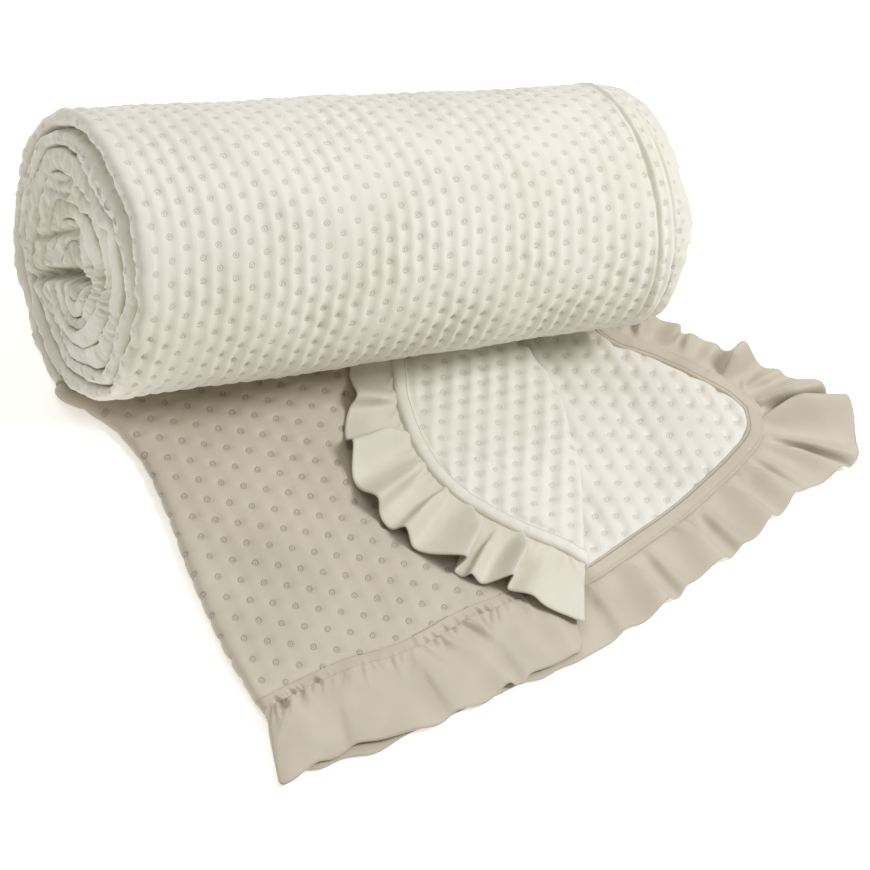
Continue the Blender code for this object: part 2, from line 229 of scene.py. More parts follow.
def makeQuiltedSateen(name, light, deep, thread, cell, shadow=1.0):
    # Woven cotton sateen over wadding: a soft broad sheen, faint uneven threads and small stitched circles.
    # cell is the size in mm of one step of the cloth's coordinates. shadow deepens the painted shade round
    # the dots.
    q = quiltedSateen
    material, tree, uv = startCloth(name, q)
    spots = []
    for shift in (0.5, 0.0):   # distance to the nearest dot at whole steps, and at half steps between them
        spot = uv
        for operation, value in (("ADD", (shift, shift, 0.0)), ("FRACTION", (0.0, 0.0, 0.0)),
                                 ("SUBTRACT", (0.5, 0.5, 0.0)), ("MULTIPLY", (*cell, 0.0))):
            spot = addNode(tree, "ShaderNodeVectorMath", {"operation": operation},
                           {0: spot}, {1: value}).outputs[0]
        distance = addNode(tree, "ShaderNodeVectorMath", {"operation": "LENGTH"}, {0: spot})
        spots.append(distance.outputs["Value"])
    away = addNode(tree, "ShaderNodeMath", {"operation": "MINIMUM"}, {0: spots[0], 1: spots[1]}).outputs[0]
    ring = addNode(tree, "ShaderNodeMath", {"operation": "SUBTRACT"}, {0: away}, {1: q["ringRadius"]})
    ring = addNode(tree, "ShaderNodeMath", {"operation": "ABSOLUTE"}, {0: ring.outputs[0]})
    outside, full = q["ringThread"]
    ring = addNode(tree, "ShaderNodeMapRange", {"interpolation_type": "SMOOTHSTEP"},
                   {"Value": ring.outputs[0]},
                   {"From Min": outside, "From Max": full, "To Max": q["ringCover"]}).outputs["Result"]
    reach = addNode(tree, "ShaderNodeMapRange", links={"Value": away},
                    values={"From Min": 0.0, "From Max": q["shadeReach"]}).outputs["Result"]
    shade = addNode(tree, "ShaderNodeValToRGB", links={"Fac": reach})
    ramp = shade.color_ramp
    while len(ramp.elements) < len(q["shade"]):
        ramp.elements.new(0.5)
    for element, (at, grey) in zip(ramp.elements, q["shade"]):
        grey = 1.0 - shadow * (1.0 - grey)
        element.position, element.color = at, (*(grey * tint for tint in q["shadeTint"]), 1.0)
    colour = washedColour(tree, light, deep, q["patches"])
    # painted shade: the cloth's colour is darkened in each dot's pit and just outside its stitched circle
    colour = addNode(tree, "ShaderNodeMix", {"data_type": "RGBA", "blend_type": "MULTIPLY"},
                     {6: colour, 7: shade.outputs[0]}, {0: 1.0}).outputs[2]
    colour = addNode(tree, "ShaderNodeMix", {"data_type": "RGBA"}, {0: ring, 6: colour},
                     {7: toLinear(thread)}).outputs[2]
    raised = addNode(tree, "ShaderNodeMath", {"operation": "MULTIPLY_ADD"}, {0: ring, 2: shade.outputs[0]},
                     {1: q["ringHigh"]}).outputs[0]
    threads = threadBump(tree, uv, cell, q)
    normal = addNode(tree, "ShaderNodeBump", links={"Height": raised, "Normal": threads},
                     values={"Strength": q["dotBump"], "Distance": q["dotHigh"]}).outputs[0]
    dressShader(tree, colour, normal)
    return material


plainCotton = {
    "slub": (0.0016, 0.009),   # metres, thread unevenness, coarser than real so that it shows
    "slubBump": 0.30, "slubHigh": 0.0005,        # strength, metres
    "stitchLine": 0.0040,      # metres from the sewn edge
    "stitchWide": (0.0011, 0.0002),              # metres, half width of the row and of its full middle
    "stitch": 0.0018,          # metres, half a stitch and its gap
    "stitchBump": 0.7, "stitchHigh": 0.0006,     # strength, metres
    "patches": 14.0,
    "roughness": 0.66, "sheen": 0.28, "sheenRoughness": 0.40, "specular": 0.32,
}


def makePlainCotton(name, light, deep, stitchesAndShade=None):
    # Plain woven cotton, washed and pressed: smooth and a little soft at its edges, with faint threads.
    # stitchesAndShade is the hex colour of a dark line along the sewn edge: its row of stitches, and painted
    # shade in the seam's crease.
    p = plainCotton
    material, tree, uv = startCloth(name, p)
    colour = washedColour(tree, light, deep, p["patches"])
    normal = threadBump(tree, uv, (1.0, 1.0), p)
    if stitchesAndShade is not None:
        alongEdge, fromEdge = addNode(tree, "ShaderNodeSeparateXYZ", links={0: uv}).outputs[:2]
        outside, full = p["stitchWide"]
        row = addNode(tree, "ShaderNodeMath", {"operation": "SUBTRACT"}, {0: fromEdge}, {1: p["stitchLine"]})
        row = addNode(tree, "ShaderNodeMath", {"operation": "ABSOLUTE"}, {0: row.outputs[0]})
        row = addNode(tree, "ShaderNodeMapRange", {"interpolation_type": "SMOOTHSTEP"},
                      {"Value": row.outputs[0]}, {"From Min": outside, "From Max": full}).outputs["Result"]
        beat = addNode(tree, "ShaderNodeMath", {"operation": "PINGPONG"}, {0: alongEdge}, {1: p["stitch"]})
        beat = addNode(tree, "ShaderNodeMapRange", links={"Value": beat.outputs[0]},
                       values={"From Min": 0.0, "From Max": p["stitch"]}).outputs["Result"]
        sewn = addNode(tree, "ShaderNodeMath", {"operation": "MULTIPLY"}, {0: row, 1: beat}).outputs[0]
        # painted shade and stitches: the colour darkens the whole row, not only the stitches, as shade in the
        # seam's crease
        colour = addNode(tree, "ShaderNodeMix", {"data_type": "RGBA"}, {0: row, 6: colour},
                         {7: toLinear(stitchesAndShade)}).outputs[2]
        normal = addNode(tree, "ShaderNodeBump", links={"Height": sewn, "Normal": normal},
                         values={"Strength": p["stitchBump"], "Distance": p["stitchHigh"]}).outputs[0]
    dressShader(tree, colour, normal)
    return material


# Quilting

grooveSwing = 0.16           # how much a groove's depth changes along it, from a dot to half-way
creaseFade = (-0.01, 0.02)   # metres about a crease's end, over which it fades in


def quiltRelief(uv, dot, groove, sharp=2.5, slanted=False):
    # Depth below the puffs. Dots stand at whole steps of the cloth's two coordinates and half-way between:
    # a pit where cos(2 pi u) cos(2 pi v) is near 1, and a groove through the dots of each column, where
    # cos(2 pi v) squared is near 1, or where cos(pi (u - v)) squared is when the columns run slanted.
    # Between two dots the groove is shallower.
    u, v = uv[..., 0], uv[..., 1]
    wave = np.cos(2 * math.pi * u) * np.cos(2 * math.pi * v)
    line = np.cos(math.pi * (u - v)) if slanted else np.cos(2 * math.pi * v)
    uneven = 1.0 - grooveSwing + grooveSwing * wave
    return dot * np.clip(wave, 0.0, 1.0) ** sharp + groove * line ** 2 * uneven


def creaseDepth(plan, table):
    # a valley along each line from one point to another, fading at both ends
    depth = np.zeros(plan.shape[:2])
    for start, stop, deep, wide in table:
        start, stop = np.array(start), np.array(stop)
        length = np.linalg.norm(stop - start)
        way = (stop - start) / length
        along = (plan - start) @ way
        off = (plan - start) @ np.array([-way[1], way[0]])
        inside = ease(*creaseFade, along) * ease(*creaseFade, length - along)
        depth += deep * inside * np.exp(-(off / wide) ** 2)
    return depth


# The roll

roll = {
    # its length, outer radii and how far back its middle line lies
    "length": 0.760, "radiusLeft": 0.1874, "radiusRight": 0.1660, "axisLeft": -0.0112, "axisRight": -0.0076,
    "sagWide": 1.02, "sagHigh": 0.96, "sink": 0.003,   # how its weight presses it wider, lower and down
    "pitch": 0.024, "stepAngle": -0.26,   # one wrap's thickness, and where the outer wrap's end steps down
    "stepsATurn": 300,
    "columns": (182, 40), "tucksFrom": 0.935,   # columns before and past this share of the length
    "foldHigh": 0.0112,                   # half the thickness of a wrap at its folded edge
    "foldDeep": (0.019, 0.0135),          # how far the rounded edge reaches in: outer wrap, inner wraps
    "outerGroove": 1.15,                  # depth of the groove beside the outer wrap, as a share of its fold
    "innerGroove": 0.0008,                # how far off the next wrap a groove's bottom stays
    "meanRadius": 0.1767,
    "crooked": (0.0065, 0.12),            # how far the inner wraps stray from their even spiral, and the size
    "cell": (28.6, 41.0),                 # mm, dots along a column, and two columns
    "dot": 0.0015, "groove": 0.0036,
    "patchy": (0.40, 0.13),               # how unevenly deep the quilting is, and over what distance
    "ripples": [(0.0011, 0.21, 12), (0.0006, 0.06, 13)],   # soft unevenness: height, size, seed
    # on the folded edges, each with its size: wander in and out, crumpling, and how far a half edge sinks
    "wander": [(0.0028, 0.19), (0.0008, 0.05)], "crumple": [(0.0008, 0.024), (0.0014, 0.060)],
    "slack": (0.22, 0.33),
    "lively": 1.6,                        # how much more the inner wraps crumple
    "edgePits": (0.8, 0.003),             # share of the quilting that shows on an edge, and its deepest
    "flatBack": 0.62, "flatInside": 0.80, # how much flatter the edges lie at the back, and in places inside
    "rough": [(0.0016, 0.040), (0.6, 0.016)],   # the left end's back: height and size, then the finer share
    # Each end: its place, the way it faces, its wraps, the points over a wrap's edge, how deep the grooves
    # reach, how far in the innermost wrap lies, the open gap inside the outer wrap and the angle where it is
    # widest, and how far the innermost turn has slipped back and down from the middle.
    "ends": [
        {"x": 0.0, "outward": -1, "turns": 7, "arc": 9, "depth": 0.036, "seed": 31, "recess": 0.012,
         "gap": 0.0060, "gapAt": 3.1, "lean": (0.017, -0.046)},
        {"x": 0.760, "outward": 1, "turns": 6, "arc": 6, "depth": 0.024, "seed": 41, "recess": 0.008,
         "gap": 0.002, "gapAt": 3.3, "lean": (0.008, -0.015)},
    ],
    # tucks round the roll near its right end: place, depth (below zero a ridge), half width
    "tucks": [(0.711, 0.0038, 0.0020), (0.7180, -0.0034, 0.0038), (0.735, 0.0038, 0.0024)],
    "tuckSlant": 0.005,
    # creases across the left end: from, to (back and up from the roll's middle line), depth, half width
    "slits": [
        ((0.070, 0.058), (-0.002, 0.146), 0.026, 0.0060), ((0.062, 0.078), (-0.034, 0.160), 0.020, 0.0055),
        ((0.088, 0.108), (0.028, 0.186), 0.012, 0.0040), ((0.036, 0.192), (0.004, 0.166), 0.026, 0.0075),
        ((0.100, 0.178), (0.046, 0.224), 0.008, 0.0040), ((0.092, 0.196), (0.050, 0.250), 0.009, 0.0045),
        ((0.118, 0.150), (0.150, 0.130), 0.005, 0.0040), ((0.096, 0.080), (0.130, 0.058), 0.005, 0.0040),
        ((0.060, 0.030), (0.080, 0.052), 0.005, 0.0035), ((-0.010, 0.060), (-0.046, 0.074), 0.006, 0.0035),
    ],
    # the hollow core: rings as shares of its rim, its depth, and folds as height, number and twist
    "core": {"rings": (0.8, 0.6, 0.4, 0.2, 0.02), "deep": 0.010, "folds": [(0.003, 3, 6), (0.0015, 7, 3)]},
}


def rollRadius(x):
    # the roll's outer radius, on a straight line from its left end to its right
    return roll["radiusLeft"] + (roll["radiusRight"] - roll["radiusLeft"]) * x / roll["length"]


def rollPoint(x, phi, inward, lean=(0.0, 0.0)):
    # Spiral: the radius shrinks by one pitch a turn from the step at the bottom, and the weight of the cloth
    # presses it wider and lower. phi runs from the bottom up the back, over the top and down the front.
    # The turns inside the first slip by the lean, more with each turn.
    turns = (phi - roll["stepAngle"]) / (2 * math.pi) + inward / roll["pitch"]
    radius = rollRadius(x) - roll["pitch"] * turns
    slipped = np.maximum(turns - 1.0, 0.0) / 6.0
    axis = roll["axisLeft"] + (roll["axisRight"] - roll["axisLeft"]) * x / roll["length"]
    y = axis + roll["sagWide"] * radius * np.sin(phi) + slipped * lean[0]
    z = roll["sagHigh"] * (rollRadius(x) - radius * np.cos(phi)) - roll["sink"] + slipped * lean[1]
    far, size = roll["crooked"]
    far = far * ease(0.8, 2.6, turns)
    y, z = y + far * softNoise(y, z, size, 95, 7), z + far * softNoise(y, z, size, 96, 7)
    return np.stack(np.broadcast_arrays(x, y, np.maximum(z, 0.0002)), axis=-1)


def rollCloth(s, fromFold):
    # relief of the wound cloth and its coordinates: s runs along the winding, fromFold is measured over the
    # cloth from its folded edge
    uv = np.stack(np.broadcast_arrays(s * 1000 / roll["cell"][0], fromFold * 1000 / roll["cell"][1]), axis=-1)
    share, size = roll["patchy"]
    relief = quiltRelief(uv, roll["dot"], roll["groove"])
    relief = relief * np.clip(1.0 + share * softNoise(s, fromFold, size, 11), 0.3, 1.5)
    for high, size, seed in roll["ripples"]:
        relief = relief + high * softNoise(s, fromFold, size, seed)
    return relief, uv


def addPoints(store, grid, uv):
    # keeps a grid of points and gives back their numbers in the grid's shape
    first = sum(len(part) for part in store["points"])
    store["points"].append(grid.reshape(-1, 3))
    store["uvs"].append(np.broadcast_to(uv, grid.shape[:-1] + (2,)).reshape(-1, 2))
    return np.arange(first, first + grid[..., 0].size).reshape(grid.shape[:-1])


def windingEdge(end):
    # rows along the spiral at one end: turns so far, angle, running length, how far the folded edge stands
    # in, and how deep the grooves between the wraps reach
    turn = np.arange(roll["stepsATurn"] * end["turns"] + 1) / roll["stepsATurn"]
    phi = roll["stepAngle"] + 2 * math.pi * turn
    radius = np.where(turn < 1.0, roll["meanRadius"], rollRadius(end["x"]) - roll["pitch"] * turn)
    gone = np.concatenate([[0.0], np.cumsum(radius[:-1] * np.diff(phi))])
    s = roll["stepAngle"] * roll["meanRadius"] + gone
    tip = end["recess"] * ease(0.9, end["turns"], turn)
    for k, (far, size) in enumerate(roll["wander"]):
        tip = tip + far * softNoise(s, 0.0, size, end["seed"] + k)
    shallow = roll["outerGroove"] * roll["foldDeep"][0]
    depth = shallow + (end["depth"] - shallow) * ease(0.93, 1.07, turn)
    return turn, phi, s, tip, depth


def addWindingEnd(store, face, relief, end):
    # Columns go over each wrap's edge from its outside to its inside: a half ellipse between two grooves.
    # The bottom of each groove is shared with the next wrap, so the end is one closed skin.
    # Towards the back the edges lie flatter and run into each other.
    n, h, seed = roll["stepsATurn"], roll["foldHigh"], end["seed"]
    turn, phi, s, tip, depth = windingEdge(end)
    rows = len(turn)
    angle = np.radians(np.linspace(90.0, -90.0, end["arc"]))[None, :]
    lively = 1.0 + roll["lively"] * ease(1.0, end["turns"] - 2.5, turn)[:, None]
    (fine, fineSize), (broad, broadSize) = roll["crumple"]
    crumple = fine * softNoise(s[:, None] * 1.5, angle * h + turn[:, None], fineSize, seed + 2)
    crumple = crumple + broad * softNoise(s[:, None], angle * h * 0.5, broadSize, seed + 3)
    pit, arcUv = rollCloth(s[:, None], h * angle)
    pitShare, pitDeepest = roll["edgePits"]
    swell = np.cos(angle) * (lively * crumple - pitShare * np.clip(pit, 0.0, pitDeepest))
    sunk, sunkSize = roll["slack"]
    slack = 1.0 - sunk * ease(0.1, 1.2, softNoise(s, turn * 0.4, sunkSize, seed + 4))[:, None]
    outer, inner = roll["foldDeep"]
    deep = outer + (inner - outer) * ease(0.8, 1.2, turn)[:, None]
    xIn = np.hstack([0.5 * (depth[:, None] + deep), deep - (deep + swell) * np.cos(angle),
                     np.full((rows, 1), 0.8 * depth[-1])])
    rIn = np.hstack([np.zeros((rows, 1)), h - (h + swell) * np.sin(angle) * np.where(angle < 0, slack, 1.0),
                     np.full((rows, 1), roll["pitch"] - roll["innerGroove"])])
    # the open gap: the first wraps inside the outer one move in, their outer half the most
    gap = end["gap"] * ease(0.55, 0.97, np.cos(phi - end["gapAt"])) * ease(0.75, 0.95, turn)
    rIn[:, 1:-1] += (gap * ease(2.4, 1.6, turn))[:, None] * np.where(angle > 0, 1.0, 0.35)
    inPlaces = ease(-0.5, 0.4, softNoise(s, turn * 0.5, 0.20, seed + 5))
    flat = 1.0 - roll["flatBack"] * ease(-0.1, 0.9, np.cos(phi - 1.35)) * ease(0.55, 1.6, turn)
    flat = flat * (1.0 - roll["flatInside"] * ease(1.6, 2.3, turn) * inPlaces)
    column = 0 if end["outward"] < 0 else -1
    rIn[:n + 1, :2] += relief[:, [column]]
    arcUv = np.where(turn[:, None, None] > 2.2, (0.25, 0.0), arcUv)   # deep inside no stitched circle shows
    uv = np.concatenate([arcUv[:, :1], arcUv, arcUv[:, -1:]], axis=1)
    side = -end["outward"]
    grid = rollPoint(end["x"], phi[:, None], rIn, end["lean"])
    grid[..., 0] += side * (xIn * flat[:, None] + tip[:, None])
    later = np.arange(n + 1, rows + n)
    kept = np.minimum(later, rows - 1)
    bottom = rollPoint(end["x"], roll["stepAngle"] + 2 * math.pi * later / n, 0.0, end["lean"])
    bottom[..., 0] += side * (depth[-1] * flat[kept] + tip[kept])
    if end["outward"] < 0:
        (high, size), (fineShare, fineSize) = roll["rough"]
        for points, reach in ((grid, ease(0.9, 1.5, turn)[:, None]), (bottom, ease(0.9, 1.5, later / n))):
            y, z = points[..., 1], points[..., 2]
            creases = creaseDepth(points[..., 1:].reshape(-1, 1, 2), roll["slits"]).reshape(y.shape)
            rough = softNoise(y + z, 3.0 * (z - y), size, 91) + fineShare * softNoise(y, z, fineSize, 92)
            points[..., 0] += side * reach * (creases + high * rough * ease(-0.06, 0.08, y))
    over = addPoints(store, grid, uv)
    groove = np.concatenate([face[:, column], addPoints(store, bottom, arcUv[kept, 0])])
    index = np.column_stack([groove[:rows], over, groove[n:n + rows]])
    mirrored = end["outward"] < 0
    store["faces"].append(gridFaces(index, flip=mirrored))
    store["faces"].append(index[:1, ::-1] if mirrored else index[:1])
    # the core: a crumpled hollow inside the last wrap, its rings ever smaller copies of its rim
    core = roll["core"]
    rings = [np.concatenate([groove[rows - 1:rows + n], index[-1, -2:0:-1]])]
    rim = np.vstack(store["points"])[rings[0]]
    middle = rim.mean(axis=0)
    around = np.linspace(0.0, 2 * math.pi, len(rim), endpoint=False)[:, None]
    for share in core["rings"]:
        folds = sum(high * np.sin(number * around + twist * share) for high, number, twist in core["folds"])
        ring = middle + (rim - middle) * share
        ring[:, :1] += side * (core["deep"] * (1 - share) + folds * share * (1 - share) * 4)
        rings.append(addPoints(store, ring, (0.25, 0.0)))
    rings = np.array(rings)
    store["faces"].append(gridFaces(np.column_stack([rings, rings[:, :1]]), flip=not mirrored))
    store["faces"].append(rings[-1:, ::-1] if mirrored else rings[-1:])


def buildRoll():
    # Outer face: one turn of the spiral between the two folded edges. Its first and last rows meet in a step.
    store = {"points": [], "uvs": [], "faces": []}
    rows = roll["stepsATurn"] + 1
    edges = [windingEdge(end) for end in roll["ends"]]
    phi, s = edges[0][1][:rows, None], edges[0][2][:rows, None]
    start = (edges[0][3] + edges[0][4])[:rows, None]
    stop = roll["length"] - (edges[1][3] + edges[1][4])[:rows, None]
    shares = unevenShares(roll["columns"], roll["tucksFrom"])
    x = start + (stop - start) * shares[None, :]
    overFold = roll["foldHigh"] * math.pi / 2 - roll["foldDeep"][0]
    relief, uv = rollCloth(s, x + overFold - edges[0][3][:rows, None])
    # sewn tucks run round the roll near its right end: a groove with a ridge beside it, and a groove beyond
    for place, depth, wide in roll["tucks"]:
        relief = relief + depth * np.exp(-((x - place - roll["tuckSlant"] * np.cos(phi)) / wide) ** 2)
    face = addPoints(store, rollPoint(x, phi, relief), uv)
    store["faces"] += [gridFaces(face), gridFaces(np.stack([face[-1], face[0]]))]
    for end in roll["ends"]:
        addWindingEnd(store, face, relief, end)
    return makePiece("rolled_panel", np.vstack(store["points"]), store["faces"], np.vstack(store["uvs"]))


# The loose end, laid out in front of the roll and folded back and forth

looseEnd = {
    # the cloth's thickness, and how high the middles of its layers and of the flap's sides lie
    "cloth": 0.008, "lowerMid": 0.004, "upperMid": 0.014,
    "flapRear": 0.0235, "flapFold": 0.028, "flapEdge": 0.0245,
    "rows": 132, "arc": 7, "flapColumns": 62,
    # columns before and past a share of the width, finer where the cloth shows
    "lowerColumns": (96, 24), "lowerChange": 0.46, "upperColumns": (118, 16), "upperChange": 0.75,
    "rearWarp": ([0.0, 0.14, 1.0], [0.0, 0.10, 1.0]),   # evens the lower layer's columns at its side
    "flapRise": 0.3,                      # share of the way to the hem over which the flap comes up
    "leftFold": [(0.004, -0.0612), (0.010, -0.074), (0.037, -0.100), (0.058, -0.132), (0.070, -0.177),
                 (0.072, -0.248), (0.066, -0.351), (0.063, -0.447), (0.072, -0.540)],
    "rightFold": [(0.594, -0.074), (0.601, -0.088), (0.614, -0.124), (0.617, -0.167), (0.612, -0.207),
                  (0.603, -0.255), (0.583, -0.316), (0.553, -0.385), (0.539, -0.420)],
    "lowerSide": [(0.745, -0.062), (0.747, -0.079), (0.762, -0.099), (0.798, -0.122), (0.839, -0.158),
                  (0.872, -0.193), (0.889, -0.228)],
    "lowerRear": [(0.745, -0.062), (0.715, -0.0550), (0.680, -0.0535), (0.400, -0.0567), (0.004, -0.0612)],
    "lowerHem": [(0.889, -0.228), (0.872, -0.268), (0.823, -0.304), (0.770, -0.335), (0.712, -0.366),
                 (0.638, -0.399), (0.533, -0.442), (0.420, -0.470), (0.300, -0.498), (0.190, -0.520),
                 (0.072, -0.540)],
    "upperRear": [(0.004, -0.0612), (0.400, -0.0567), (0.520, -0.0580), (0.594, -0.074)],
    "upperHem": [(0.072, -0.540), (0.125, -0.524), (0.189, -0.508), (0.242, -0.502), (0.294, -0.490),
                 (0.360, -0.467), (0.417, -0.455), (0.480, -0.440), (0.539, -0.420)],
    "flapHem": [(0.539, -0.420), (0.525, -0.402), (0.489, -0.371), (0.452, -0.334), (0.428, -0.298)],
    "flapSide": [(0.441, -0.074), (0.443, -0.094), (0.433, -0.124), (0.421, -0.160), (0.414, -0.210),
                 (0.416, -0.262), (0.428, -0.298)],
    # where the dots lie in plan: one dot, a step along its column, and a step of two columns
    "dotsReverse": ((0.31664, -0.41922), (-0.0012, -0.0298), (0.0524, 0.0116)),
    "dotsLower": ((0.65191, -0.23333), (0.0262, -0.0048), (-0.0259, -0.0478)),
    "dotsFlap": ((0.55676, -0.25065), (-0.0113, -0.0227), (-0.0446, 0.0159)),
    # size in mm of one step of those coordinates
    "cellReverse": (29.8, 53.7), "cellFace": (26.0, 51.0),
    # relief on each: depth of a dot's pit and of the groove along a column, how narrow the pit is, and
    # whether the columns run slanted
    "reliefLower": (0.0024, 0.0038, 1.5, True), "reliefFlap": (0.0018, 0.0036, 1.6),
    "reliefReverse": (0.0024, 0.0008, 1.7),
    "deepest": 0.0058,                    # so that no pit reaches the cloth's other side
    "patchy": (0.3, 0.12),                # how unevenly deep the quilting is, and over what distance
    "quiltFrom": (0.004, 0.016),          # the quilting fades in between these distances from the sewn edge
    "puff": 0.0012, "ripple": (0.0014, 0.09),
    "seamDip": (0.0026, 0.0065, 0.0045),  # a dip along the seam: depth, distance from the edge, half width
    "edgeThin": (0.0009, 0.007),          # how much thinner the cloth is at its edge, and how far in
    # creases in the flap: from, to, depth and half width
    "creases": [((0.443, -0.225), (0.507, -0.296), 0.0030, 0.007),
                ((0.562, -0.289), (0.512, -0.374), 0.0024, 0.007)],
}


def sideNormals(line, sign):
    # plan normals of a line, to the given side
    tangent = unit(np.gradient(line[:, :2], axis=0))
    return sign * np.stack([-tangent[:, 1], tangent[:, 0]], axis=1)


def foldArc(first, last, outward):
    # half circle from one layer up to the next, bulging outward; also the length gone round it
    radius = (last[:, 2:] - first[:, 2:]) / 2
    angle = np.linspace(0.0, math.pi, looseEnd["arc"] + 2)[1:-1, None, None]
    plan = first[None, :, :2] + outward[None] * radius[None] * np.sin(angle)
    share = (1 - np.cos(angle)) / 2
    height = first[None, :, 2:] * (1 - share) + last[None, :, 2:] * share
    return np.concatenate([plan, height], axis=2), angle * radius


def withHeight(plan, height):
    # plan points with a height added
    return np.concatenate([plan, np.broadcast_to(height, plan.shape[:2])[..., None]], axis=2)


def dotCoordinates(plan, dots):
    # solves plan = origin + u * step along + v * step of two columns
    origin, along, across = (np.array(item) for item in dots)
    return (plan - origin) @ np.linalg.inv(np.stack([along, across]))


def looseMiddle():
    # Middle surface as one grid: lower layer right to left, fold, upper layer left to right, fold, flap.
    e = looseEnd
    t = np.linspace(0.0, 1.0, e["rows"])
    fine = np.linspace(0.0, 1.0, 400)
    left, right, side = (smoothLine(e[key], t) for key in ("leftFold", "rightFold", "flapSide"))
    shares = unevenShares(e["lowerColumns"], e["lowerChange"])
    rear = alongPath(smoothLine(e["lowerRear"], fine), np.interp(shares, *e["rearWarp"]))
    hem = alongPath(smoothLine(e["lowerHem"], fine), shares)
    lower = coonsPatch(smoothLine(e["lowerSide"], t), left, rear, hem)
    shares = unevenShares(e["upperColumns"], e["upperChange"])
    rear, hem = (alongPath(smoothLine(e[key], fine), shares) for key in ("upperRear", "upperHem"))
    upper = coonsPatch(left, right, rear, hem)
    rear = np.linspace(right[0], side[0], e["flapColumns"])
    flap = coonsPatch(right, side, rear, smoothLine(e["flapHem"], np.linspace(0.0, 1.0, e["flapColumns"])))
    lifted = np.minimum(t / e["flapRise"], 1.0)
    atFold = e["flapRear"] + (e["flapFold"] - e["flapRear"]) * lifted
    atEdge = e["flapRear"] + (e["flapEdge"] - e["flapRear"]) * lifted
    fall = np.linspace(1.0, 0.0, e["flapColumns"])[:, None] ** 2
    lower, upper = withHeight(lower, e["lowerMid"]), withHeight(upper, e["upperMid"])
    flap = withHeight(flap, atEdge + (atFold - atEdge) * fall)
    outLeft, outRight = sideNormals(left, -1.0), sideNormals(right, 1.0)
    leftArc, wentLeft = foldArc(lower[-1], upper[0], outLeft)
    rightArc, wentRight = foldArc(upper[-1], flap[0], outRight)
    parts = [lower, leftArc, upper, rightArc, flap]
    group = np.repeat(np.arange(5), [len(part) for part in parts])
    # the reverse shows round the left fold, so its coordinates run on over it; the face does so at the right
    beyondLeft = upper[0, :, :2] + outLeft * (wentLeft[-1:] + wentLeft[:1] - wentLeft)
    beyondRight = flap[0, :, :2] + outRight * (wentRight[-1:] + wentRight[:1] - wentRight)
    uvReverse = dotCoordinates(np.concatenate([lower[..., :2], beyondLeft, upper[..., :2], rightArc[..., :2],
                                               flap[..., :2]]), e["dotsReverse"])
    uvFace = np.concatenate([dotCoordinates(lower[..., :2], e["dotsLower"])] +
                            [dotCoordinates(part, e["dotsFlap"]) for part in
                             (leftArc[..., :2], upper[..., :2], beyondRight, flap[..., :2])])
    return np.concatenate(parts), group, uvFace, uvReverse


def buildLooseEnd(middle, group, uvFace, uvReverse):
    # Both sides lie half the cloth's thickness off its middle, less the quilting's relief on the side that
    # shows. Near the sewn edge the relief fades and the cloth thins, where the binding laps over it.
    e = looseEnd
    plan = middle[..., :2]
    normals = gridNormals(middle)
    toHem = np.linalg.norm(middle - middle[:, -1:], axis=2)
    toSide = np.minimum(np.linalg.norm(middle - middle[:1], axis=2) + (group != 0)[:, None],
                        np.linalg.norm(middle - middle[-1:], axis=2) + (group != 4)[:, None])
    inside = np.minimum(toHem, toSide)
    quilted = ease(*e["quiltFrom"], inside)
    share, size = e["patchy"]
    uneven = np.clip(1.0 + share * softNoise(plan[..., 0], plan[..., 1], size, 51), 0.4, 1.6)
    onFlap = (group >= 3)[:, None]
    face = np.where(onFlap, quiltRelief(uvFace, *e["reliefFlap"]), quiltRelief(uvFace, *e["reliefLower"]))
    face = face * uneven * quilted + np.where(onFlap, creaseDepth(plan, e["creases"]), 0.0)
    dip, at, wide = e["seamDip"]
    face = face + dip * np.exp(-((inside - at) / wide) ** 2)
    faceShows = ((group == 0) | (group >= 3))[:, None]
    face = np.minimum(face, e["deepest"]) * faceShows
    reverse = quiltRelief(uvReverse, *e["reliefReverse"]) * uneven * quilted * ~faceShows
    high, size = e["ripple"]
    ripple = high * softNoise(plan[..., 0], plan[..., 1], size, 52) * quilted
    thinner, farIn = e["edgeThin"]
    half = e["cloth"] / 2 - thinner * (1.0 - ease(0.0, farIn, inside))
    over = middle + normals * (half - face + ripple + e["puff"] * quilted)[..., None]
    under = middle - normals * (half - reverse - 0.5 * ripple)[..., None]
    return closedSheet("loose_end_cloth", over, under, uvFace, uvReverse)


# Binding and ruffle along the sewn edge

